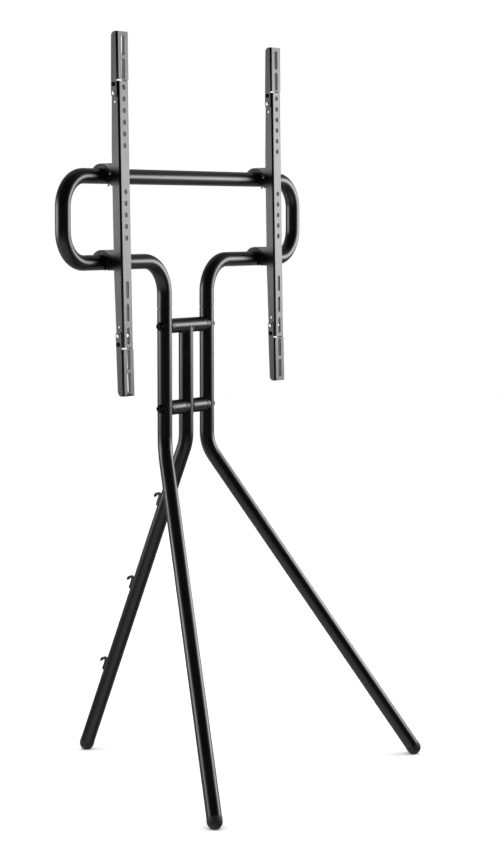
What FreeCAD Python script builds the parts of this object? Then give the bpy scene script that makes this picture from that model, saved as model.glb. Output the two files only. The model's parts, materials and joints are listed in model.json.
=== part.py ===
import FreeCAD, Part
import math
import os

from FreeCAD import Vector

# Easel floor stand for a flat screen: three bent tube legs, a looped tube frame and two
# channel arms that hang on it. Millimetres. +X is the stand's left-to-right width seen from
# the front, +Y points to the rear, +Z is up. The origin is on the floor under the middle of
# the footprint.

# ---- driving dimensions: tubes and frame ------------------------------------------------
tube_od = 27.0
tube_wall = 1.5
stem_half_spacing = 65.5        # stem centre line to the middle plane
leg_joint_height = 861.0        # where the frame plugs into the legs
leg_joint_gap = 1.6
lower_bar_rise = 86.8           # joint to the bars that run out from the stems, centre lines
bar_spacing = 150.2             # from those up to the bar across the top
loop_half_width = 354.0         # centre line of the outer uprights of the loops
loop_bend_radius = 55.0
stem_bend_radius = 60.0
upper_crossbar_drop = 32.0      # below the joint
crossbar_spacing = 150.0
front_leg_bend_height = 602.0
rear_leg_bend_height = 614.5
leg_bend_radius = 80.0
front_foot_half_spacing = 328.0
front_foot_reach = 299.0        # stem plane to the front foot
rear_foot_reach = 241.0         # stem plane to the rear foot

# ---- feet, joint plugs and frame fasteners ----------------------------------------------
foot_overhang = 0.3             # foot's radius beyond the tube's
foot_flat_radius = 4.9
foot_collar_length = 6.0
foot_plug_length = 24.0
foot_plug_clearance = 0.1
spigot_below_joint = 50.0
spigot_bend_clearance = 2.0     # top of the spigot below the stem's bend
spigot_wall = 2.0
spigot_clearance = 0.1
bolt_radius = 4.0               # M8 crossbar bolts
bolt_hole_clearance = 0.3
bolt_head_radius = 6.6
bolt_head_height = 4.4
bolt_socket_flats = 5.0
bolt_socket_depth = 2.6
washer_radius = 8.0
washer_thickness = 1.5
saddle_wall = 3.0               # of the saddles, where the leg bulges into them
saddle_tip_setback = 5.0        # their tips are trimmed this far from the leg's centre line
insert_length = 14.0
insert_setback = 1.0            # inside the crossbar's square end
bolt_engagement = 11.0

# ---- cable clips ------------------------------------------------------------------------
clip_stations = (124.0, 300.0, 476.0)   # along the rear leg from its bend
clip_width = 9.0
clip_base_thickness = 4.0
clip_base_above = 6.2           # base beyond the hook's centre, up the leg
clip_base_below = 17.0          # and down the leg
clip_gap_radius = 3.8
clip_hook_thickness = 2.4
clip_lip_length = 5.0
clip_lip_flare = 1.2
clip_screw_offset = 11.0        # screw below the hook's centre
clip_screw_radius = 1.6
clip_screw_head_radius = 3.2
clip_screw_head_height = 1.6
clip_screw_length = 12.0
clip_recess_length = 2.6        # cross recess in the screw's head
clip_recess_width = 0.7
clip_recess_depth = 0.9

# ---- screen arms ------------------------------------------------------------------------
# Heights on an arm are those of an upright arm; the finished arm leans back by arm_tilt.
arm_half_spacing = 236.0
arm_tilt = 1.0                  # degrees, about the upper bar
web_setout = 44.0               # front face of the rail in front of the upper bar's centre
rail_width = 28.0
rail_depth = 18.0               # between the hooks
arm_end_depth = 12.8            # at the free ends of the extensions
upper_taper_rise = 44.0         # the sides narrow from here above the upper bar
lower_taper_drop = 22.0         # and from here below the lower bar
rail_sheet = 2.0
bend_outer_radius = 3.2
hole_datum_rise = 151.9         # top hole of the rail above the upper bar
rail_above_datum = 11.0
rail_below_datum = 451.0
hole_radius = 4.5
hole_pitch = 20.0
upper_hole_count = 6
lower_hole_start = 180.0        # first hole of the lower row, below the datum
lower_hole_count = 5
rail_slot_offsets = (350.0, 390.0, 430.0)
rail_slot_length = 30.0
slot_width = 7.6

# ---- hooks of the arms ------------------------------------------------------------------
hook_band = 5.4                 # steel outside the hook's bore
hook_bottom_rise = 2.6          # lower edge of the hook plate above the lowest point of the bore
hook_foot_inset = 1.6           # end of that edge behind the foremost point of the bore
hook_nose_angle = 8.0           # end of the hook behind the tube, above the horizontal
liner_radial_clearance = 0.1    # liner on the tube, a sliding fit
liner_thickness = 2.9
liner_seat_clearance = 0.1
upper_liner_end_angle = 218.0
lower_liner_end_angle = 236.0   # snaps a little way round the tube
liner_saddle_angle = 140.0
liner_lip_height = 0.7
liner_lip_width = 1.0
liner_cheek_inset = 0.8         # cheek inside the hook's outer edge
liner_cheek_angle = 150.0

# ---- safety latch -----------------------------------------------------------------------
latch_tube_clearance = 1.5      # boss of the latch to the upper tube
latch_pivot_height = 5.3        # above the tube's centre
latch_sheet = 1.5
latch_side_gap = 0.4
latch_boss_radius = 5.0
latch_outline = [(-4.5, -4.0), (-4.8, 2.0), (-2.0, 5.0), (2.0, 5.0), (4.5, 1.5), (3.4, -4.0),
                 (2.6, -11.0), (6.9, -23.0), (4.6, -23.6), (1.8, -18.6), (-1.6, -22.6),
                 (-3.6, -22.0), (-4.6, -12.0)]  # (rearward, upward) from the pivot
latch_corner_radii = [0, 2.4, 2.4, 2.4, 2.4, 2.0, 3.0, 0.6, 0.6, 0.8, 0.6, 0.6, 0]
latch_bridge_height = 8.0
latch_bridge_drop = 12.0        # its lower edge below the pivot
latch_rivet_radius = 2.5
latch_rivet_clearance = 0.08
latch_rivet_head_radius = 3.0
latch_rivet_head_height = 1.0

# ---- fold-out extensions ----------------------------------------------------------------
extension_gap = 2.5             # between the ends of rail and extension
extension_length = 82.5
extension_side_gap = 0.3
pivot_inset = 20.8              # pivot from the end of the rail
fold_clearance = 0.6            # folded extension behind the rail's rear edge
lock_hole_offset = 15.2         # lock screw to pivot
lock_hole_radius = 2.25
tab_setback = 3.5               # front edge of the tabs behind the front face
tab_overrun = 6.4               # tabs beyond the pivot
tab_corner_radius = 4.5
extension_corner_radius = 8.0
extension_slot_offsets = (21.0, 61.0)   # from the end of the rail
extension_slot_length = 34.5
extension_slot_width = 9.6
pivot_rivet_radius = 2.5
pivot_rivet_clearance = 0.08
pivot_rivet_head_radius = 3.7
pivot_rivet_head_height = 1.5
pivot_rivet_clench_radius = 3.3
pivot_rivet_clench_height = 1.2
pivot_rivet_dimple_radius = 1.5
lock_screw_radius = 2.0
lock_screw_head_radius = 4.0
lock_screw_head_height = 2.4
lock_screw_socket_flats = 2.5
lock_screw_socket_depth = 1.4

# ---- worked out from the sizes above ----------------------------------------------------
tube_radius = tube_od / 2
bore_radius = tube_radius - tube_wall
stem_y = (front_foot_reach - rear_foot_reach) / 2
foot_radius = tube_radius + foot_overhang
saddle_reach = tube_radius + saddle_wall    # leg centre line to a crossbar's square end
foot_centre_height = math.sqrt(foot_radius ** 2 - foot_flat_radius ** 2)
lower_bar_height = leg_joint_height + lower_bar_rise
upper_bar_height = lower_bar_height + bar_spacing
upper_crossbar_height = leg_joint_height - upper_crossbar_drop
lower_crossbar_height = upper_crossbar_height - crossbar_spacing
web_front_y = stem_y - web_setout
rail_rear_y = web_front_y + rail_depth
hole_datum_height = upper_bar_height + hole_datum_rise
rail_top = hole_datum_height + rail_above_datum
rail_bottom = hole_datum_height - rail_below_datum
pivot_y = web_front_y + (rail_depth + rail_sheet + fold_clearance) / 2
tilt_angle = math.radians(arm_tilt)
liner_inner_radius = tube_radius + liner_radial_clearance
liner_outer_radius = liner_inner_radius + liner_thickness
hook_bore_radius = liner_outer_radius + liner_seat_clearance
hook_outer_radius = hook_bore_radius + hook_band
latch_pivot_reach = tube_radius + latch_boss_radius + latch_tube_clearance
extension_width = rail_width + 2 * (extension_side_gap + rail_sheet)
cut_margin = 1.0                # how far cutting shapes run past a face
up = Vector(0, 0, 1)
along_x = Vector(1, 0, 0)
upper_seat = Vector(0, stem_y, upper_bar_height)    # the bars, seen from an upright arm
lower_seat = upper_seat + Vector(0, math.sin(tilt_angle), -math.cos(tilt_angle)) * bar_spacing


# ---- shape helpers ----------------------------------------------------------------------
def rounded_wire(points, radii, closed=False):
    """Straight runs through the points, with a tangent arc of the given radius at each."""
    corners = []
    for i, point in enumerate(points):
        is_end = not closed and i in (0, len(points) - 1)
        if is_end or radii[i] == 0:
            corners.append((point, None, point))
            continue
        to_last = (points[i - 1] - point).normalize()
        to_next = (points[(i + 1) % len(points)] - point).normalize()
        half_angle = to_last.getAngle(to_next) / 2
        tangent_length = radii[i] / math.tan(half_angle)
        centre = point + (to_last + to_next).normalize() * (radii[i] / math.sin(half_angle))
        middle = centre + (point - centre).normalize() * radii[i]
        corners.append((point + to_last * tangent_length, middle, point + to_next * tangent_length))
    edges = []
    for i, (start, middle, end) in enumerate(corners):
        if middle is not None:
            edges.append(Part.Arc(start, middle, end).toShape())
        if closed or i + 1 < len(corners):
            following = corners[(i + 1) % len(corners)][0]
            if end.distanceToPoint(following) > 1e-6:
                edges.append(Part.LineSegment(end, following).toShape())
    return Part.Wire(edges)


def bent_rod(points, bend_radius, radius):
    """Solid rod along straight runs joined by equal bends."""
    path = rounded_wire(points, [bend_radius] * len(points))
    start_direction = (points[1] - points[0]).normalize()
    profile = Part.Wire(Part.Circle(points[0], start_direction, radius).toShape())
    return path.makePipeShell([profile], True, False)


def bent_tube(points, bend_radius):
    return bent_rod(points, bend_radius, tube_radius).cut(bent_rod(points, bend_radius, bore_radius))


def rod(start, direction, length, radius):
    return Part.makeCylinder(radius, length, start, direction)


def turned(outline, base, direction):
    """Solid of revolution: the outline is a list of (height along direction, radius)."""
    side = direction.cross(up)
    if side.Length < 0.5:
        side = direction.cross(along_x)
    side = side.normalize()
    points = [base + direction * height + side * radius for height, radius in outline]
    face = Part.Face(Part.makePolygon(points + points[:1]))
    return face.revolve(base, direction, 360)


def hex_socket(mouth, inward, flats, depth):
    side = inward.cross(up)
    if side.Length < 0.5:
        side = inward.cross(along_x)
    side = side.normalize() * (flats / math.sqrt(3))
    other = inward.cross(side)
    points = []
    for i in range(6):
        angle = math.radians(60 * i)
        points.append(mouth + side * math.cos(angle) + other * math.sin(angle))
    return Part.Face(Part.makePolygon(points + points[:1])).extrude(inward * depth)


def plate_yz(wire, x_start, x_end):
    """Plate parallel to the YZ plane from a closed wire drawn at x = 0."""
    solid = Part.Face(wire).extrude(along_x * (x_end - x_start))
    solid.translate(along_x * x_start)
    return solid


def polar_yz(centre, radius, angle):
    """Point on a circle about an X axis; angle 0 is the rear, 90 the top."""
    turn = math.radians(angle)
    return centre + Vector(0, radius * math.cos(turn), radius * math.sin(turn))


def arc_band(centre, inner_radius, outer_radius, start_angle, end_angle, x_start, x_end):
    """Part of a ring about an X axis."""
    middle_angle = (start_angle + end_angle) / 2
    inner = [polar_yz(centre, inner_radius, a) for a in (start_angle, middle_angle, end_angle)]
    outer = [polar_yz(centre, outer_radius, a) for a in (end_angle, middle_angle, start_angle)]
    edges = [
        Part.Arc(*inner).toShape(),
        Part.LineSegment(inner[2], outer[0]).toShape(),
        Part.Arc(*outer).toShape(),
        Part.LineSegment(outer[2], inner[0]).toShape(),
    ]
    return plate_yz(Part.Wire(edges), x_start, x_end)


def fused(solids):
    return solids[0].multiFuse(solids[1:]).removeSplitter()


def export(name, shapes):
    shape = shapes[0] if len(shapes) == 1 else Part.makeCompound(shapes)
    shape.exportStep(os.path.join("parts", name + ".step"))
    print(name, len(shape.Solids), "solid(s)", "valid" if shape.isValid() else "NOT VALID")


# ---- tube frame -------------------------------------------------------------------------
def upper_frame_tube():
    """One bent tube: stem, lower bar, loop, upper bar, and back down the other side."""
    half_gap = leg_joint_gap / 2
    left = [
        Vector(-stem_half_spacing, stem_y, leg_joint_height + half_gap),
        Vector(-stem_half_spacing, stem_y, lower_bar_height),
        Vector(-loop_half_width, stem_y, lower_bar_height),
        Vector(-loop_half_width, stem_y, upper_bar_height),
    ]
    right = [Vector(-p.x, p.y, p.z) for p in reversed(left)]
    points = left + right
    radii = [0, stem_bend_radius, loop_bend_radius, loop_bend_radius]
    radii = radii + radii[::-1]
    rods = []
    for radius in (tube_radius, bore_radius):
        profile = Part.Wire(Part.Circle(points[0], up, radius).toShape())
        rods.append(rounded_wire(points, radii).makePipeShell([profile], True, False))
    return rods[0].cut(rods[1])


def foot_direction(bend_point, foot_point):
    return (foot_point - bend_point).normalize()


def front_leg(side):
    """Leg tube from the joint down, then out and forward. Returns tube, bend and foot point."""
    top = Vector(side * stem_half_spacing, stem_y, leg_joint_height - leg_joint_gap / 2)
    bend = Vector(side * stem_half_spacing, stem_y, front_leg_bend_height)
    foot = Vector(side * front_foot_half_spacing, stem_y - front_foot_reach, foot_centre_height)
    end = foot - foot_direction(bend, foot) * foot_collar_length
    tube = bent_tube([top, bend, end], leg_bend_radius)
    for height in (upper_crossbar_height, lower_crossbar_height):
        start = Vector(top.x - tube_od, stem_y, height)
        tube = tube.cut(rod(start, along_x, 2 * tube_od, bolt_radius + bolt_hole_clearance))
    return tube, bend, foot


def rear_leg():
    """Middle tube, coped to the underside of the upper crossbar, bent back to the rear foot."""
    top = Vector(0, stem_y, upper_crossbar_height)
    bend = Vector(0, stem_y, rear_leg_bend_height)
    foot = Vector(0, stem_y + rear_foot_reach, foot_centre_height)
    end = foot - foot_direction(bend, foot) * foot_collar_length
    tube = bent_tube([top, bend, end], leg_bend_radius)
    bar_side = rod(top - along_x * tube_od, along_x, 2 * tube_od, tube_radius)
    stud_start = Vector(-tube_od, stem_y, lower_crossbar_height)
    stud_hole = rod(stud_start, along_x, 2 * tube_od, bolt_radius + bolt_hole_clearance)
    return tube.cut([bar_side, stud_hole]), bend, foot


def crossbar(x_start, x_end, height):
    """Square-cut bar between the centre lines of two uprights, less a saddle at each end."""
    start = Vector(x_start + saddle_reach, stem_y, height)
    length = x_end - x_start - 2 * saddle_reach
    return rod(start, along_x, length, tube_radius).cut(rod(start, along_x, length, bore_radius))


def end_saddle(x, inward, height):
    """Block between an upright and the square end of a crossbar, hollowed to the upright."""
    start = Vector(x, stem_y, height)
    tips = start + inward * saddle_tip_setback
    block = rod(tips, inward, saddle_reach - saddle_tip_setback, tube_radius)
    upright = rod(start - up * tube_od, up, 2 * tube_od, tube_radius)
    return block.cut([upright, rod(start, inward, saddle_reach, bolt_radius + bolt_hole_clearance)])


def crossbar_insert(x, inward, height):
    """Threaded plug in the end of a crossbar."""
    base = Vector(x, stem_y, height) + inward * (saddle_reach + insert_setback)
    plug = rod(base, inward, insert_length, bore_radius)
    return plug.cut(rod(base, inward, insert_length, bolt_radius))


def rear_leg_stud():
    """Threaded stud through the rear leg that pulls both lower crossbars against it."""
    reach = saddle_reach + insert_setback + bolt_engagement
    return rod(Vector(-reach, stem_y, lower_crossbar_height), along_x, 2 * reach, bolt_radius)


def joint_spigot(side):
    """Inner tube that joins a stem to its leg; the upper crossbar bolt passes through it."""
    base = Vector(side * stem_half_spacing, stem_y, leg_joint_height - spigot_below_joint)
    length = lower_bar_height - stem_bend_radius - spigot_bend_clearance - base.z
    outer_radius = bore_radius - spigot_clearance
    tube = rod(base, up, length, outer_radius)
    tube = tube.cut(rod(base, up, length, outer_radius - spigot_wall))
    start = Vector(base.x - tube_od, stem_y, upper_crossbar_height)
    return tube.cut(rod(start, along_x, 2 * tube_od, bolt_radius + bolt_hole_clearance))


def crossbar_bolts():
    """Bolts and their curved washers on the outer sides of the front legs."""
    bolts, washers = [], []
    for side in (-1, 1):
        inward = Vector(-side, 0, 0)
        for height in (upper_crossbar_height, lower_crossbar_height):
            axis_point = Vector(side * stem_half_spacing, stem_y, height)
            leg_face = axis_point - inward * tube_radius
            blank = rod(leg_face - inward * washer_thickness * 2, inward,
                        washer_thickness * 2 + tube_radius, washer_radius)
            shell = rod(axis_point - up * tube_od, up, 2 * tube_od, tube_radius + washer_thickness)
            shell = shell.cut(rod(axis_point - up * tube_od, up, 2 * tube_od, tube_radius))
            washer = blank.common(shell)
            washers.append(washer.cut(rod(leg_face - inward * tube_od, inward, 2 * tube_od,
                                          bolt_radius + bolt_hole_clearance)))
            seat = leg_face - inward * washer_thickness
            bolt_length = (washer_thickness + tube_radius + saddle_reach + insert_setback
                           + bolt_engagement)
            rim = bolt_head_height * 0.45
            bolt = turned([(-bolt_head_height, 0), (-bolt_head_height, bolt_head_radius * 0.62),
                           (-rim, bolt_head_radius), (0, bolt_head_radius), (0, bolt_radius),
                           (bolt_length - 1, bolt_radius), (bolt_length, bolt_radius - 1),
                           (bolt_length, 0)], seat, inward)
            bolts.append(bolt.cut(hex_socket(seat - inward * bolt_head_height, inward,
                                             bolt_socket_flats, bolt_socket_depth)))
    return bolts, washers


def foot_cap(bend, foot):
    """Domed rubber foot with a plug that is pushed into the tube's end."""
    back = foot_direction(bend, foot) * -1
    dome = Part.makeSphere(foot_radius, foot, back, -90, 0, 360)
    collar = rod(foot, back, foot_collar_length, foot_radius)
    plug = rod(foot, back, foot_collar_length + foot_plug_length, bore_radius - foot_plug_clearance)
    reach = 3 * foot_radius
    below_floor = Part.makeBox(2 * reach, 2 * reach, reach, Vector(foot.x - reach, foot.y - reach, -reach))
    return fused([dome, collar, plug]).cut(below_floor)


# ---- cable clips on the rear leg --------------------------------------------------------
def cable_clip(bend, foot, station):
    """Screwed-on hook that opens down the leg. Returns the clip and its screw."""
    down = foot_direction(bend, foot)
    out = along_x.cross(down) * -1
    if out.y < 0:
        out = out * -1
    origin = bend + down * station

    def at(along, off):
        return origin + down * along + out * off

    base_top = tube_radius + clip_base_thickness
    bore = clip_gap_radius
    rim = clip_gap_radius + clip_hook_thickness
    centre = base_top + clip_gap_radius
    edges = [
        Part.LineSegment(at(clip_base_below, 0), at(clip_base_below, base_top - 1)).toShape(),
        Part.LineSegment(at(clip_base_below, base_top - 1), at(clip_base_below - 2, base_top)).toShape(),
        Part.LineSegment(at(clip_base_below - 2, base_top), at(0, base_top)).toShape(),
        Part.Arc(at(0, centre - bore), at(-bore, centre), at(0, centre + bore)).toShape(),
        Part.LineSegment(at(0, centre + bore), at(clip_lip_length, centre + bore + clip_lip_flare)).toShape(),
        Part.LineSegment(at(clip_lip_length, centre + bore + clip_lip_flare),
                         at(clip_lip_length - 1, centre + rim)).toShape(),
        Part.LineSegment(at(clip_lip_length - 1, centre + rim), at(0, centre + rim)).toShape(),
        Part.Arc(at(0, centre + rim), at(-rim, centre), at(-rim * 0.8, centre - rim * 0.6)).toShape(),
        Part.LineSegment(at(-rim * 0.8, centre - rim * 0.6), at(-clip_base_above, base_top - 1)).toShape(),
        Part.LineSegment(at(-clip_base_above, base_top - 1), at(-clip_base_above, 0)).toShape(),
        Part.LineSegment(at(-clip_base_above, 0), at(clip_base_below, 0)).toShape(),
    ]
    clip = Part.Face(Part.Wire(edges)).extrude(along_x * clip_width)
    clip.translate(along_x * (-clip_width / 2))
    clip = clip.cut(rod(at(-2 * tube_od, 0), down, 4 * tube_od, tube_radius))
    screw_seat = at(clip_screw_offset, base_top)
    clip = clip.cut(rod(screw_seat, out * -1, tube_od, clip_screw_radius))
    head = clip_screw_head_height
    screw = turned([(-head, 0), (-head, clip_screw_head_radius * 0.6),
                    (-head * 0.4, clip_screw_head_radius), (0, clip_screw_head_radius),
                    (0, clip_screw_radius), (clip_screw_length - 2, clip_screw_radius),
                    (clip_screw_length, 0)], screw_seat, out * -1)
    for slot_side in (along_x, down):
        slot = Part.makeBox(clip_recess_length, clip_recess_width, clip_recess_depth,
                            Vector(-clip_recess_length / 2, -clip_recess_width / 2, -clip_recess_depth))
        slot.Placement = FreeCAD.Placement(at(clip_screw_offset, base_top + head),
                                           FreeCAD.Rotation(slot_side, out.cross(slot_side), out))
        screw = screw.cut(slot)
    hole = rod(screw_seat, out * -1, clip_base_thickness + 2 * tube_wall, clip_screw_radius)
    return clip, screw, hole


# ---- screen arms ------------------------------------------------------------------------
def hung(solids):
    """Leans pieces of an upright arm back about the upper bar."""
    for solid in solids:
        solid.rotate(upper_seat, along_x, -arm_tilt)
    return solids


def rear_edge(height):
    """Rear edge of the arm's sides: straight between the hooks, narrowing to both ends."""
    upper_start = upper_seat.z + upper_taper_rise
    lower_start = lower_seat.z - lower_taper_drop
    past_rail = extension_gap + extension_length
    share = 0
    if height > upper_start:
        share = (height - upper_start) / (rail_top + past_rail - upper_start)
    elif height < lower_start:
        share = (lower_start - height) / (lower_start - rail_bottom + past_rail)
    return Vector(0, rail_rear_y - share * (rail_depth - arm_end_depth), height)


def channel(x_centre, width, z_start, z_end):
    """U channel with its web to the front and rounded bends."""
    half = width / 2
    rear = rail_rear_y
    inner_radius = bend_outer_radius - rail_sheet
    outer = [Vector(x_centre - half, rear, z_start), Vector(x_centre - half, web_front_y, z_start),
             Vector(x_centre + half, web_front_y, z_start), Vector(x_centre + half, rear, z_start)]
    inner = [Vector(x_centre + half - rail_sheet, rear, z_start),
             Vector(x_centre + half - rail_sheet, web_front_y + rail_sheet, z_start),
             Vector(x_centre - half + rail_sheet, web_front_y + rail_sheet, z_start),
             Vector(x_centre - half + rail_sheet, rear, z_start)]
    radii = [0, bend_outer_radius, bend_outer_radius, 0, 0, inner_radius, inner_radius, 0]
    outline = rounded_wire(outer + inner, radii, closed=True)
    return Part.Face(outline).extrude(up * (z_end - z_start))


def web_hole(x, z, radius):
    return rod(Vector(x, web_front_y - cut_margin, z), Vector(0, 1, 0), rail_sheet + 2 * cut_margin, radius)


def web_slot(x, z, length, width):
    half_run = (length - width) / 2
    middle = Part.makeBox(width, rail_sheet + 2 * cut_margin, 2 * half_run,
                          Vector(x - width / 2, web_front_y - cut_margin, z - half_run))
    return fused([middle, web_hole(x, z - half_run, width / 2), web_hole(x, z + half_run, width / 2)])


def hook_plate(seat, x_start, x_end):
    """Lug of the rail's side that reaches over a frame tube and down behind it."""
    overlap_y = rail_rear_y - bend_outer_radius
    bottom = seat.z - hook_bore_radius + hook_bottom_rise
    throat_drop = 0.8 * (hook_bore_radius - hook_bottom_rise)
    lower_front = Vector(0, overlap_y, bottom)
    foot = Vector(0, seat.y - hook_bore_radius + hook_foot_inset, bottom)
    throat = polar_yz(seat, hook_bore_radius, 180 + math.degrees(math.asin(throat_drop / hook_bore_radius)))
    nose_inner = polar_yz(seat, hook_bore_radius, hook_nose_angle)
    nose_outer = polar_yz(seat, hook_outer_radius, hook_nose_angle)
    middle_radius = (hook_bore_radius + hook_outer_radius) / 2
    nose_drop = math.degrees(hook_band / 2 / middle_radius)
    nose_tip = polar_yz(seat, middle_radius, hook_nose_angle - nose_drop)
    top = seat + up * hook_outer_radius
    upper_front = Vector(0, overlap_y, top.z)
    edges = [
        Part.LineSegment(lower_front, foot).toShape(),
        Part.LineSegment(foot, throat).toShape(),
        Part.Arc(throat, polar_yz(seat, hook_bore_radius, 110), nose_inner).toShape(),
        Part.Arc(nose_inner, nose_tip, nose_outer).toShape(),
        Part.Arc(nose_outer, polar_yz(seat, hook_outer_radius, 50), top).toShape(),
        Part.LineSegment(top, upper_front).toShape(),
        Part.LineSegment(upper_front, lower_front).toShape(),
    ]
    return plate_yz(Part.Wire(edges), x_start, x_end)


def latch_pivot():
    return upper_seat + Vector(0, -latch_pivot_reach, latch_pivot_height)


def rail(x):
    """Channel with its hooks, the screen holes and slots, and the holes of the extensions."""
    half = rail_width / 2
    front = Vector(0, web_front_y - cut_margin, 0)
    side_outline = Part.makePolygon([
        front + up * rail_bottom, rear_edge(rail_bottom), rear_edge(lower_seat.z - lower_taper_drop),
        rear_edge(upper_seat.z + upper_taper_rise), rear_edge(rail_top), front + up * rail_top,
        front + up * rail_bottom])
    body = channel(x, rail_width, rail_bottom, rail_top)
    solids = [body.common(plate_yz(side_outline, x - half, x + half))]
    for seat in (upper_seat, lower_seat):
        solids.append(hook_plate(seat, x - half, x - half + rail_sheet))
        solids.append(hook_plate(seat, x + half - rail_sheet, x + half))
    body = fused(solids)
    cutters = []
    for i in range(upper_hole_count):
        cutters.append(web_hole(x, hole_datum_height - i * hole_pitch, hole_radius))
    for i in range(lower_hole_count):
        offset = lower_hole_start + i * hole_pitch
        cutters.append(web_hole(x, hole_datum_height - offset, hole_radius))
    for offset in rail_slot_offsets:
        cutters.append(web_slot(x, hole_datum_height - offset, rail_slot_length, slot_width))
    across = Vector(x - rail_width, 0, 0)
    for end, inward in ((rail_top, -1), (rail_bottom, 1)):
        pivot_z = end + inward * pivot_inset
        cutters.append(rod(across + Vector(0, pivot_y, pivot_z), along_x, 2 * rail_width,
                           pivot_rivet_radius))
        for offset in (-lock_hole_offset, lock_hole_offset):
            cutters.append(rod(across + Vector(0, pivot_y, pivot_z + offset), along_x,
                               2 * rail_width, lock_hole_radius))
    cutters.append(rod(across + latch_pivot(), along_x, 2 * rail_width, latch_rivet_radius))
    return body.cut(cutters)


def hook_liner(x, seat, end_angle):
    """Plastic saddle that lines a pair of hook plates and slides on the tube."""
    half = rail_width / 2
    edge_inner = half - rail_sheet - latch_side_gap / 4
    edge_outer = half + liner_lip_width
    lip_start = half + liner_seat_clearance / 2
    solids = [arc_band(seat, liner_inner_radius, liner_outer_radius, hook_nose_angle,
                       liner_saddle_angle, x - edge_outer, x + edge_outer)]
    for side in (-1, 1):
        near, far = sorted((x + side * edge_inner, x + side * edge_outer))
        solids.append(arc_band(seat, liner_inner_radius, liner_outer_radius, hook_nose_angle,
                               end_angle, near, far))
        near, far = sorted((x + side * lip_start, x + side * edge_outer))
        solids.append(arc_band(seat, liner_inner_radius, liner_outer_radius + liner_lip_height,
                               hook_nose_angle, end_angle, near, far))
        solids.append(arc_band(seat, liner_inner_radius, hook_outer_radius - liner_cheek_inset,
                               hook_nose_angle, liner_cheek_angle, near, far))
    return fused(solids)


def safety_latch(x):
    """U-shaped catch with two forked side plates that swings on its rivet."""
    pivot = latch_pivot()
    outer = rail_width / 2 - rail_sheet - latch_side_gap
    points = [pivot + Vector(0, rearward, upward) for rearward, upward in latch_outline]
    wire = rounded_wire(points, latch_corner_radii, closed=True)
    solids = [plate_yz(wire, x - outer, x - outer + latch_sheet),
              plate_yz(wire, x + outer - latch_sheet, x + outer)]
    bridge = Part.makeBox(2 * outer, latch_sheet, latch_bridge_height,
                          Vector(x - outer, pivot.y + latch_outline[-1][0], pivot.z - latch_bridge_drop))
    solids.append(bridge)
    body = fused(solids)
    return body.cut(rod(pivot + along_x * (x - rail_width), along_x, 2 * rail_width,
                        latch_rivet_radius + latch_rivet_clearance))


def latch_rivet(x):
    """Pin through both hook plates with a flat head at each end."""
    half = rail_width / 2
    head_radius = latch_rivet_head_radius
    head = latch_rivet_head_height
    length = rail_width + 2 * head
    outline = [(0, 0), (0, head_radius * 0.7), (head * 0.6, head_radius), (head, head_radius),
               (head, latch_rivet_radius), (length - head, latch_rivet_radius),
               (length - head, head_radius), (length - head * 0.6, head_radius),
               (length, head_radius * 0.7), (length, 0)]
    return turned(outline, latch_pivot() + along_x * (x - half - head), along_x)


def extension(x, rail_end, outward):
    """Fold-out end of the rail: a channel with two tabs that straddle the rail."""
    far_end = rail_end + outward * (extension_gap + extension_length)
    near_end = rail_end + outward * extension_gap
    tab_end = rail_end - outward * (pivot_inset + tab_overrun)
    pivot_z = rail_end - outward * pivot_inset
    half = extension_width / 2
    body = channel(x, extension_width, min(far_end, tab_end), max(far_end, tab_end))
    clear_start = min(near_end, tab_end)
    clear_height = abs(near_end - tab_end)
    front = web_front_y - cut_margin
    body = body.cut(Part.makeBox(extension_width + 2 * cut_margin, tab_setback + cut_margin, clear_height,
                                 Vector(x - half - cut_margin, front, clear_start)))
    tab_front = web_front_y + tab_setback
    side_outline = rounded_wire(
        [Vector(0, front, far_end), rear_edge(far_end), rear_edge(tab_end), Vector(0, tab_front, tab_end),
         Vector(0, tab_front, near_end), Vector(0, front, near_end)],
        [0, extension_corner_radius, tab_corner_radius, tab_corner_radius, 0, 0], closed=True)
    body = body.common(plate_yz(side_outline, x - half, x + half))
    cutters = []
    for offset in extension_slot_offsets:
        cutters.append(web_slot(x, rail_end + outward * offset, extension_slot_length,
                                extension_slot_width))
    start = Vector(x - extension_width, pivot_y, pivot_z)
    cutters.append(rod(start, along_x, 2 * extension_width,
                       pivot_rivet_radius + pivot_rivet_clearance))
    cutters.append(rod(start + up * (outward * lock_hole_offset), along_x, 2 * extension_width,
                       lock_screw_radius))
    return body.cut(cutters)


def pivot_rivets(x, rail_end, outward):
    """Tubular rivets, one each side, clenched inside the rail; the tabs turn on them."""
    pivot = Vector(x, pivot_y, rail_end - outward * pivot_inset)
    grip = rail_sheet + extension_side_gap + rail_sheet + extension_side_gap / 3
    head = pivot_rivet_head_height
    clench = pivot_rivet_clench_height
    dimple = pivot_rivet_dimple_radius
    rivets = []
    for side in (-1, 1):
        outward_x = Vector(side, 0, 0)
        clench_face = pivot + outward_x * (rail_width / 2 - rail_sheet)
        outline = [(-clench, 0), (-clench, pivot_rivet_clench_radius * 0.7),
                   (-clench * 0.4, pivot_rivet_clench_radius), (0, pivot_rivet_clench_radius),
                   (0, pivot_rivet_radius), (grip, pivot_rivet_radius),
                   (grip, pivot_rivet_head_radius), (grip + head * 0.4, pivot_rivet_head_radius),
                   (grip + head, pivot_rivet_head_radius * 0.6), (grip + head, dimple),
                   (grip + head * 0.2, dimple * 0.7), (grip + head * 0.2, 0)]
        rivets.append(turned(outline, clench_face, outward_x))
    return rivets


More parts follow.
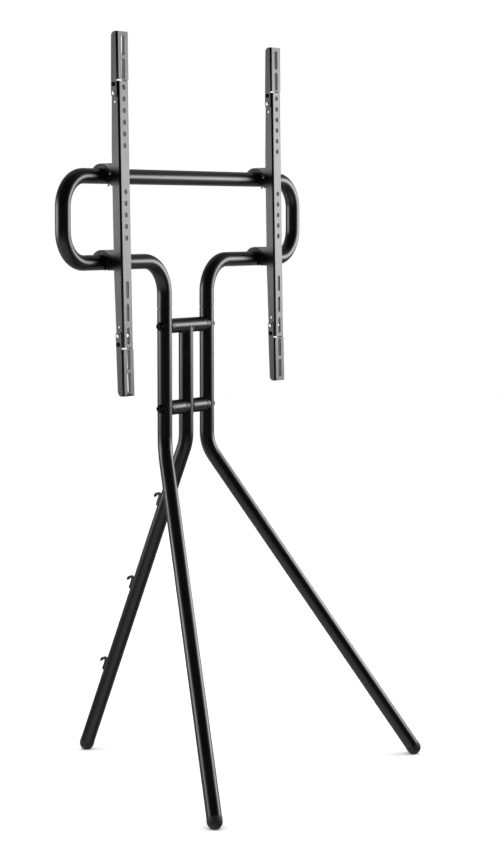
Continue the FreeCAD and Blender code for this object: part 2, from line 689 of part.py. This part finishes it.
def lock_screws(x, rail_end, outward):
    """Button-head screws through the tabs, drawn backed out to the tab's inner face."""
    height = rail_end - outward * (pivot_inset - lock_hole_offset)
    screws = []
    for side in (-1, 1):
        inward = Vector(-side, 0, 0)
        seat = Vector(x, pivot_y, height) - inward * (extension_width / 2)
        head = lock_screw_head_height
        outline = [(-head, 0), (-head, lock_screw_head_radius * 0.55),
                   (-head * 0.75, lock_screw_head_radius * 0.85),
                   (-head * 0.3, lock_screw_head_radius), (0, lock_screw_head_radius),
                   (0, lock_screw_radius), (rail_sheet, lock_screw_radius), (rail_sheet, 0)]
        screw = turned(outline, seat, inward)
        screws.append(screw.cut(hex_socket(seat - inward * head, inward,
                                           lock_screw_socket_flats, lock_screw_socket_depth)))
    return screws


# ---- build ------------------------------------------------------------------------------
os.makedirs("parts", exist_ok=True)

export("upper_frame_tube", [upper_frame_tube()])
for side, name in ((-1, "left"), (1, "right")):
    leg, bend, foot = front_leg(side)
    export(name + "_front_leg", [leg])
    export(name + "_foot_cap", [foot_cap(bend, foot)])
    export(name + "_joint_spigot", [joint_spigot(side)])

leg, bend, foot = rear_leg()
clip_screws = []
for station, place in zip(clip_stations, ("upper", "middle", "lower")):
    clip, screw, hole = cable_clip(bend, foot, station)
    leg = leg.cut(hole)
    clip_screws.append(screw)
    export(place + "_cable_clip", [clip])
export("cable_clip_screws", clip_screws)
export("rear_leg", [leg])
export("rear_foot_cap", [foot_cap(bend, foot)])

export("upper_crossbar", [crossbar(-stem_half_spacing, stem_half_spacing, upper_crossbar_height)])
export("left_lower_crossbar", [crossbar(-stem_half_spacing, 0, lower_crossbar_height)])
export("right_lower_crossbar", [crossbar(0, stem_half_spacing, lower_crossbar_height)])
bolts, washers = crossbar_bolts()
export("crossbar_bolts", bolts)
export("saddle_washers", washers)
export("rear_leg_stud", [rear_leg_stud()])
outer, centre = stem_half_spacing, 0
bar_ends = [(-outer, along_x, upper_crossbar_height), (outer, along_x * -1, upper_crossbar_height),
            (-outer, along_x, lower_crossbar_height), (centre, along_x * -1, lower_crossbar_height),
            (centre, along_x, lower_crossbar_height), (outer, along_x * -1, lower_crossbar_height)]
export("crossbar_inserts", [crossbar_insert(*bar_end) for bar_end in bar_ends])
export("upper_crossbar_saddles", [end_saddle(*bar_end) for bar_end in bar_ends[:2]])
export("lower_crossbar_saddles", [end_saddle(*bar_end) for bar_end in bar_ends[2:]])

for side, name in ((-1, "left"), (1, "right")):
    x = side * arm_half_spacing
    export(name + "_rail", hung([rail(x)]))
    export(name + "_upper_liner", hung([hook_liner(x, upper_seat, upper_liner_end_angle)]))
    export(name + "_lower_liner", hung([hook_liner(x, lower_seat, lower_liner_end_angle)]))
    export(name + "_latch", hung([safety_latch(x)]))
    export(name + "_latch_rivet", hung([latch_rivet(x)]))
    rivets = []
    for place, rail_end, outward in (("top", rail_top, 1), ("bottom", rail_bottom, -1)):
        export(name + "_" + place + "_extension", hung([extension(x, rail_end, outward)]))
        export(name + "_" + place + "_lock_screws", hung(lock_screws(x, rail_end, outward)))
        rivets += pivot_rivets(x, rail_end, outward)
    export(name + "_pivot_rivets", hung(rivets))
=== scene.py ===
import json
import math

import bmesh
import bpy
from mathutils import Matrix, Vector


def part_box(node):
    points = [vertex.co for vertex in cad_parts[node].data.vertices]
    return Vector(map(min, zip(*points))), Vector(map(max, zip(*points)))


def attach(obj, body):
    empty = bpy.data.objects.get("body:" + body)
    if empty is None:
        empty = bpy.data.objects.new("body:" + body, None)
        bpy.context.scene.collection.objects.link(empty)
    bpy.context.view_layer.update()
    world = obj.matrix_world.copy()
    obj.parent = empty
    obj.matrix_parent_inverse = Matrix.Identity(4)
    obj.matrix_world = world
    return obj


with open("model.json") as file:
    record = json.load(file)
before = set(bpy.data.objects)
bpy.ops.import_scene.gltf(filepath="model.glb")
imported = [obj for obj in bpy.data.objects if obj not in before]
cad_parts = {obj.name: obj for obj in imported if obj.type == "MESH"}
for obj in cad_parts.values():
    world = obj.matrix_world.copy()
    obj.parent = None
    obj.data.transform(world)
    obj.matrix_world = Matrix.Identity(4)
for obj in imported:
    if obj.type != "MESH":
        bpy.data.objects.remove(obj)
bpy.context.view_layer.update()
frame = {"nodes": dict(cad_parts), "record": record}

mm = 0.001


def linearColour(code):
    channels = [int(code[i:i + 2], 16) / 255 for i in (1, 3, 5)]
    linear = [c / 12.92 if c <= 0.04045 else ((c + 0.055) / 1.055) ** 2.4 for c in channels]
    return (*linear, 1.0)


def addNode(tree, kind, settings=None, links=None):
    # one node with its settings (attributes or sockets) and the outputs that feed it
    node = tree.nodes.new(kind)
    for name, value in (settings or {}).items():
        if isinstance(name, int) or name in node.inputs:
            node.inputs[name].default_value = value
        else:
            setattr(node, name, value)
    for name, output in (links or {}).items():
        tree.links.new(output, node.inputs[name])
    return node


def startMaterial(name):
    material = bpy.data.materials.new(name)
    material.use_nodes = True
    tree = material.node_tree
    tree.nodes.clear()
    return material, tree


def finishSurface(tree, settings, drift, relief, shaderSettings):
    # colour and gloss drift together with one pattern, and a pattern of relief breaks the reflection.
    # Inputs 6 and 7 of a colour mix are its two colours, and most of a noise lies between 0.3 and 0.7
    colour = addNode(tree, "ShaderNodeMix",
                     {"data_type": "RGBA", 6: linearColour(settings["dark"]),
                      7: linearColour(settings["light"])}, {0: drift.outputs["Fac"]})
    glossiest, dullest = settings["roughness"]
    dullness = addNode(tree, "ShaderNodeMapRange",
                       {"From Min": 0.3, "From Max": 0.7, "To Min": glossiest, "To Max": dullest},
                       {"Value": drift.outputs["Fac"]})
    bump = addNode(tree, "ShaderNodeBump",
                   {"Strength": settings["relief"], "Distance": settings["reliefDepth"] * mm},
                   {"Height": relief.outputs["Fac"]})
    shader = addNode(tree, "ShaderNodeBsdfPrincipled", shaderSettings,
                     {"Base Color": colour.outputs[2], "Roughness": dullness.outputs["Result"],
                      "Normal": bump.outputs["Normal"]})
    addNode(tree, "ShaderNodeOutputMaterial", links={"Surface": shader.outputs["BSDF"]})


# in every finish, widths and depths are in millimetres and relief is a share of its depth
tubeCoatSettings = {"dark": "#050505", "light": "#080808", "roughness": (0.27, 0.32), "ior": 1.5,
                    "relief": 0.02, "reliefDepth": 0.2, "peelWidth": 2.2, "patchWidth": 60.0}
sheetCoatSettings = {"dark": "#050505", "light": "#080808", "roughness": (0.28, 0.32), "ior": 1.5,
                     "relief": 0.015, "reliefDepth": 0.2, "peelWidth": 2.2, "patchWidth": 45.0}
latchCoatSettings = {"dark": "#090909", "light": "#0c0c0c", "roughness": (0.34, 0.42), "ior": 1.5,
                     "relief": 0.02, "reliefDepth": 0.2, "peelWidth": 1.5, "patchWidth": 12.0}
phosphateSettings = {"dark": "#020202", "light": "#040404", "roughness": (0.62, 0.72), "ior": 1.5,
                     "relief": 0.03, "reliefDepth": 0.2, "peelWidth": 1.2, "patchWidth": 8.0}


def makePowderCoat(name, settings):
    # black polyester powder, sprayed dry and baked: a satin skin with faint orange peel, a little
    # duller where the powder lies thinner. Real peel is 1 to 3 mm wide and only microns deep. The
    # latch's thin dip coat and the spigots' phosphate are built the same way, only duller
    material, tree = startMaterial(name)
    place = addNode(tree, "ShaderNodeTexCoord")
    patches = addNode(tree, "ShaderNodeTexNoise",
                      {"Scale": 1 / (settings["patchWidth"] * mm), "Detail": 3.0},
                      {"Vector": place.outputs["Object"]})
    peel = addNode(tree, "ShaderNodeTexNoise",
                   {"Scale": 1 / (settings["peelWidth"] * mm), "Detail": 2.0},
                   {"Vector": place.outputs["Object"]})
    finishSurface(tree, settings, patches, peel, {"IOR": settings["ior"]})
    return material


nylonSettings = {"dark": "#0a0a0a", "light": "#0f0f0f", "roughness": (0.38, 0.48), "ior": 1.53,
                 "relief": 0.05, "reliefDepth": 0.2, "grainWidth": 0.9, "flowWidth": 9.0}
acetalSettings = {"dark": "#040404", "light": "#080808", "roughness": (0.48, 0.60), "ior": 1.48,
                  "relief": 0.03, "reliefDepth": 0.2, "grainWidth": 1.2, "flowWidth": 9.0}
saddleSettings = {"dark": "#060606", "light": "#0a0a0a", "roughness": (0.38, 0.46), "ior": 1.5,
                  "relief": 0.03, "reliefDepth": 0.2, "grainWidth": 1.2, "flowWidth": 9.0}
rubberSettings = {"dark": "#0d0d0d", "light": "#161616", "roughness": (0.58, 0.72), "ior": 1.52,
                  "relief": 0.10, "reliefDepth": 0.2, "grainWidth": 0.8, "flowWidth": 9.0}


def makeMoulding(name, settings):
    # moulded against a spark-eroded tool: a fine even grain breaks the gloss, and the rubber's is
    # deeper and duller. Real grain is 0.1 to 0.2 mm wide and is drawn coarser so that it shows
    material, tree = startMaterial(name)
    place = addNode(tree, "ShaderNodeTexCoord")
    grain = addNode(tree, "ShaderNodeTexNoise",
                    {"Scale": 1 / (settings["grainWidth"] * mm), "Detail": 4.0},
                    {"Vector": place.outputs["Object"]})
    flow = addNode(tree, "ShaderNodeTexNoise",
                   {"Scale": 1 / (settings["flowWidth"] * mm), "Detail": 2.0},
                   {"Vector": place.outputs["Object"]})
    finishSurface(tree, settings, flow, grain, {"IOR": settings["ior"]})
    return material


blackOxideSettings = {"dark": "#141416", "light": "#202024", "roughness": (0.30, 0.42),
                      "relief": 0.04, "reliefDepth": 0.1, "markWidth": 1.0}
zincSettings = {"dark": "#b4b6b9", "light": "#d2d4d6", "roughness": (0.22, 0.34),
                "relief": 0.04, "reliefDepth": 0.1, "markWidth": 0.7}
plainSteelSettings = {"dark": "#84868a", "light": "#a0a2a6", "roughness": (0.35, 0.48),
                      "relief": 0.04, "reliefDepth": 0.1, "markWidth": 0.9}


def makeMetal(name, settings):
    # cold-headed and tumbled steel under a thin black oxide or zinc skin, or bare: small soft dents
    # and rubs left by tumbling change the gloss from place to place
    material, tree = startMaterial(name)
    place = addNode(tree, "ShaderNodeTexCoord")
    rubs = addNode(tree, "ShaderNodeTexNoise",
                   {"Scale": 1 / (settings["markWidth"] * mm), "Detail": 5.0, "Roughness": 0.6},
                   {"Vector": place.outputs["Object"]})
    finishSurface(tree, settings, rubs, rubs, {"Metallic": 1.0})
    return material


# place in metres, turn and lookDown in degrees, lens and sensor in millimetres
cameraSettings = {"place": (-3.3771, -2.4568, 1.0300), "turn": -55.26, "lookDown": 5.47, "lens": 94.48,
                  "sensorWidth": 36.0, "farClip": 60.0}


def buildCamera(settings):
    data = bpy.data.cameras.new("mainCamera")
    camera = bpy.data.objects.new("mainCamera", data)
    bpy.context.scene.collection.objects.link(camera)
    camera.location = settings["place"]
    camera.rotation_euler = (math.radians(90 - settings["lookDown"]), 0, math.radians(settings["turn"]))
    data.lens = settings["lens"]
    data.sensor_width = settings["sensorWidth"]
    data.clip_end = settings["farClip"]
    bpy.context.scene.camera = camera


# what the gloss of the tubes mirrors, apart from the softboxes. Edges are pairs between which a
# glow fades in, measured on a direction of length one
studioSettings = {
    "cameraWhite": 1.0,            # the plain backdrop
    "darkEnd": 0.015,              # the unlit end of the room, where the camera stands
    "rearGlow": 0.32,              # the far end, above the horizon
    "floorGlow": 0.25,             # and below it
    "darkEdge": (-0.15, 0.35),     # from the unlit end to the far end
    "horizonEdge": (-0.1, 0.1),    # from below the horizon to above it
    "nearFloorLeft": 0.80,         # the lit floor round the feet, on the side of the left box
    "nearFloorRight": 0.12,        # and of the right box
    "nearFloorEdge": (-0.16, -0.5),    # how steeply down it starts, and where it is full
    "sideEdge": (-0.5, 0.3),       # from the left side to the right
}


def buildStudioLight(settings):
    world = bpy.data.worlds.new("studio")
    bpy.context.scene.world = world
    world.use_nodes = True
    tree = world.node_tree
    tree.nodes.clear()

    unlitEnd = Vector(cameraSettings["place"])
    unlitEnd.z = 0
    unlitEnd.normalize()
    direction = addNode(tree, "ShaderNodeTexCoord").outputs["Generated"]
    along = addNode(tree, "ShaderNodeVectorMath", {"operation": "DOT_PRODUCT", 1: tuple(-unlitEnd)},
                    {0: direction}).outputs["Value"]
    parts = addNode(tree, "ShaderNodeSeparateXYZ", links={"Vector": direction})
    across, upward = parts.outputs["X"], parts.outputs["Z"]

    glows = []
    for source, edge, start, end in (
            (along, "darkEdge", settings["darkEnd"], settings["rearGlow"]),
            (upward, "horizonEdge", settings["floorGlow"] / settings["rearGlow"], 1.0),
            (upward, "nearFloorEdge", 0.0, 1.0),
            (across, "sideEdge", settings["nearFloorLeft"], settings["nearFloorRight"])):
        low, high = settings[edge]
        glow = addNode(tree, "ShaderNodeMapRange",
                       {"interpolation_type": "SMOOTHSTEP", "From Min": low, "From Max": high,
                        "To Min": start, "To Max": end}, {"Value": source})
        glows.append(glow.outputs["Result"])
    rear, level, steep, sideways = glows

    room = addNode(tree, "ShaderNodeMath", {"operation": "MULTIPLY"}, {0: rear, 1: level})
    nearFloor = addNode(tree, "ShaderNodeMath", {"operation": "MULTIPLY"}, {0: steep, 1: sideways})
    total = addNode(tree, "ShaderNodeMath", {"operation": "ADD"},
                    {0: room.outputs["Value"], 1: nearFloor.outputs["Value"]})
    reflected = addNode(tree, "ShaderNodeBackground", {"Color": (1, 1, 1, 1)},
                        {"Strength": total.outputs["Value"]})
    backdrop = addNode(tree, "ShaderNodeBackground",
                       {"Color": (1, 1, 1, 1), "Strength": settings["cameraWhite"]})
    ray = addNode(tree, "ShaderNodeLightPath")
    mix = addNode(tree, "ShaderNodeMixShader",
                  links={0: ray.outputs["Is Camera Ray"], 1: reflected.outputs["Background"],
                         2: backdrop.outputs["Background"]})
    addNode(tree, "ShaderNodeOutputWorld", links={"Surface": mix.outputs["Shader"]})


# azimuth in degrees and sizes in metres. Fades are shares of the width or height over which a box
# grows dim: front, rear, low and high
softboxes = {
    "leftBox": {"azimuth": -140.0, "distance": 2.6, "width": 2.1, "height": 1.75, "centre": 1.04,
                "glow": 6.2, "fades": (0.05, 0.05, 0.45, 0.45)},
    "rightBox": {"azimuth": 62.0, "distance": 2.6, "width": 3.0, "height": 1.75, "centre": 1.18,
                 "glow": 8.4, "fades": (0.10, 0.50, 0.34, 0.43)},
}


def buildSoftbox(name, settings):
    data = bpy.data.lights.new(name, "AREA")
    data.shape = "RECTANGLE"
    data.size, data.size_y = settings["width"], settings["height"]
    data.energy = settings["glow"] * math.pi * settings["width"] * settings["height"]
    data.use_nodes = True
    tree = data.node_tree
    tree.nodes.clear()

    place = addNode(tree, "ShaderNodeNewGeometry")
    across = addNode(tree, "ShaderNodeSeparateXYZ", links={"Vector": place.outputs["Parametric"]})
    front, rear, low, high = settings["fades"]
    strength = None
    for output, start, end in (("X", 0.0, front), ("X", 1.0, 1.0 - rear),
                               ("Y", 0.0, low), ("Y", 1.0, 1.0 - high)):
        fade = addNode(tree, "ShaderNodeMapRange",
                       {"interpolation_type": "SMOOTHSTEP", "From Min": start, "From Max": end,
                        "To Min": 0.0, "To Max": 1.0}, {"Value": across.outputs[output]})
        links = {0: fade.outputs["Result"]}
        if strength:
            links[1] = strength.outputs["Value"]
        strength = addNode(tree, "ShaderNodeMath", {"operation": "MULTIPLY", 1: 1.0}, links)
    emission = addNode(tree, "ShaderNodeEmission", links={"Strength": strength.outputs["Value"]})
    addNode(tree, "ShaderNodeOutputLight", links={"Surface": emission.outputs["Emission"]})

    light = bpy.data.objects.new(name, data)
    bpy.context.scene.collection.objects.link(light)
    turn = math.radians(settings["azimuth"])
    outward = Vector((math.sin(turn), -math.cos(turn), 0))
    light.location = outward * settings["distance"] + Vector((0, 0, settings["centre"]))
    light.rotation_mode = "QUATERNION"
    light.rotation_quaternion = outward.to_track_quat("Z", "Y")
    light.visible_camera = False


floorWashSettings = {"strength": 3.6, "softness": 100.0}     # softness in degrees


def buildFloorWash(settings):
    # a broad ceiling light that whitens the floor and never shows in the gloss
    data = bpy.data.lights.new("ceilingWash", "SUN")
    data.energy = settings["strength"]
    data.angle = math.radians(settings["softness"])
    light = bpy.data.objects.new("ceilingWash", data)
    bpy.context.scene.collection.objects.link(light)
    light.visible_glossy = False


floorSettings = {"radius": 9.0, "sides": 96, "colour": "#f4f4f3", "roughness": 0.6}


def buildFloor(settings):
    # flat white emulsion on a smooth board: it takes soft contact shadows and has no gloss
    mesh = bpy.data.meshes.new("studioFloor")
    shape = bmesh.new()
    bmesh.ops.create_circle(shape, cap_ends=True, segments=settings["sides"], radius=settings["radius"])
    shape.to_mesh(mesh)
    shape.free()
    floor = bpy.data.objects.new("studioFloor", mesh)
    bpy.context.scene.collection.objects.link(floor)
    material, tree = startMaterial("floorPaint")
    shader = addNode(tree, "ShaderNodeBsdfDiffuse",
                     {"Color": linearColour(settings["colour"]), "Roughness": settings["roughness"]})
    addNode(tree, "ShaderNodeOutputMaterial", links={"Surface": shader.outputs["BSDF"]})
    mesh.materials.append(material)
    floor.visible_glossy = False


edgeSettings = {
    # millimetres, by finish
    "width": {"sheet_coat": 0.35, "latch_coat": 0.3, "clip_plastic": 0.5, "liner_plastic": 0.3,
              "saddle_plastic": 0.5, "rubber": 0.6, "black_screw": 0.25, "zinc": 0.25},
    "joinWithin": 0.002,      # millimetres
    "sharperThan": 40.0,      # degrees
    "steps": 2,
}


def roundEdges(node, width, settings):
    # deburred sheet, moulded corners and turned heads never end in a knife edge
    join = node.modifiers.new("joinFacets", "WELD")
    join.merge_threshold = settings["joinWithin"] * mm
    bevel = node.modifiers.new("roundEdges", "BEVEL")
    bevel.width = width * mm
    bevel.segments = settings["steps"]
    bevel.limit_method = "ANGLE"
    bevel.angle_limit = math.radians(settings["sharperThan"])


def dressFrame(finishes, settings):
    for part in frame["record"]["subparts"]:
        node, slotName = frame["nodes"][part["node"]], part["material_slot"]
        for socket in node.material_slots:
            socket.material = finishes[slotName]
        if slotName in settings["width"]:
            roundEdges(node, settings["width"][slotName], settings)


# the arc weld that holds the rear leg under the upper crossbar, coated with the tubes. The bead is
# a chain of rings whose size rises and falls with the ripples
weldSettings = {
    "halfSpan": 86.0,         # degrees round the leg on each side
    "beadRadius": 1.7,        # millimetres, as are the next three
    "sink": 0.5,              # into the corner
    "ripplePitch": 1.9,
    "rippleDepth": 0.22,
    "flatness": 1.25,         # width over height
    "lean": 0.6,              # how far the bead faces down, against outward
    "endSize": 0.35,          # of the first and last ring
    "taperRings": 8,
    "ringsPerRipple": 6,
    "sides": 10,
    "lengthShare": 1.2,       # the saddle line is about a fifth longer than its circle
}


def saddleLine(tubeRadius, centre, startAngle, endAngle, settings):
    # where two equal tubes meet square on, with an outward direction at each point
    length = tubeRadius * math.radians(endAngle - startAngle) * settings["lengthShare"]
    count = int(length / (settings["ripplePitch"] * mm / settings["ringsPerRipple"]))
    line = []
    for i in range(count + 1):
        angle = math.radians(startAngle + (endAngle - startAngle) * i / count)
        x, y = math.cos(angle), math.sin(angle)
        outward = Vector((x, y, -settings["lean"])).normalized()
        line.append((centre + Vector((x, y, -abs(x))) * tubeRadius, outward))
    return line


def weldRing(shape, centre, side, outward, radius, settings):
    ring = []
    for step in range(settings["sides"]):
        turn = 2 * math.pi * step / settings["sides"]
        sideways = side * radius * settings["flatness"] * math.cos(turn)
        ring.append(shape.verts.new(centre + sideways + outward * radius * math.sin(turn)))
    return ring


def buildWeld(name, line, settings):
    shape = bmesh.new()
    rings = []
    travelled = 0.0
    last = len(line) - 1
    for i, (point, outward) in enumerate(line):
        if i:
            travelled += (point - line[i - 1][0]).length
        before, after = line[max(i - 1, 0)][0], line[min(i + 1, last)][0]
        side = (after - before).normalized().cross(outward).normalized()
        wave = math.sin(2 * math.pi * travelled / (settings["ripplePitch"] * mm))
        taper = min(1.0, settings["endSize"] + min(i, last - i) / settings["taperRings"])
        radius = (settings["beadRadius"] + settings["rippleDepth"] * wave) * mm * taper
        centre = point - outward * settings["sink"] * mm
        rings.append(weldRing(shape, centre, side, outward, radius, settings))
    for first, second in zip(rings, rings[1:]):
        for step in range(len(first)):
            following = (step + 1) % len(first)
            shape.faces.new((first[step], first[following], second[following], second[step]))
    shape.faces.new(rings[0][::-1])
    shape.faces.new(rings[-1])
    bmesh.ops.recalc_face_normals(shape, faces=shape.faces)
    mesh = bpy.data.meshes.new(name)
    shape.to_mesh(mesh)
    shape.free()
    for face in mesh.polygons:
        face.use_smooth = True
    weld = bpy.data.objects.new(name, mesh)
    bpy.context.scene.collection.objects.link(weld)
    return weld


def buildWelds(settings, finish):
    low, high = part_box("upper_crossbar")
    tubeRadius = (high[2] - low[2]) / 2
    centre = Vector((0, (low[1] + high[1]) / 2, (low[2] + high[2]) / 2))
    halfSpan = settings["halfSpan"]
    for name, middle in (("legWeldRight", 0), ("legWeldLeft", 180)):
        line = saddleLine(tubeRadius, centre, middle - halfSpan, middle + halfSpan, settings)
        weld = buildWeld(name, line, settings)
        weld.data.materials.append(finish)
        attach(weld, "stand")


buildCamera(cameraSettings)
buildStudioLight(studioSettings)
for boxName, boxSettings in softboxes.items():
    buildSoftbox(boxName, boxSettings)
buildFloorWash(floorWashSettings)
buildFloor(floorSettings)
bpy.context.scene.view_settings.view_transform = "Standard"
print("studio built")

finishes = {
    "tube_coat": makePowderCoat("satinPowderCoatOnTube", tubeCoatSettings),
    "sheet_coat": makePowderCoat("satinPowderCoatOnPressedSteel", sheetCoatSettings),
    "latch_coat": makePowderCoat("blackDipCoatOnLatch", latchCoatSettings),
    "rubber": makeMoulding("mouldedRubberFoot", rubberSettings),
    "clip_plastic": makeMoulding("mouldedNylonClip", nylonSettings),
    "liner_plastic": makeMoulding("mouldedAcetalLiner", acetalSettings),
    "saddle_plastic": makeMoulding("mouldedSaddle", saddleSettings),
    "black_screw": makeMetal("blackOxideScrew", blackOxideSettings),
    "zinc": makeMetal("brightZincRivet", zincSettings),
    "spigot_finish": makePowderCoat("matPhosphateOnSpigot", phosphateSettings),
    "inner_steel": makeMetal("plainDrawnSteel", plainSteelSettings),
}
dressFrame(finishes, edgeSettings)
print("finishes on", len(frame["nodes"]), "nodes")

buildWelds(weldSettings, finishes["tube_coat"])
print("welds built")
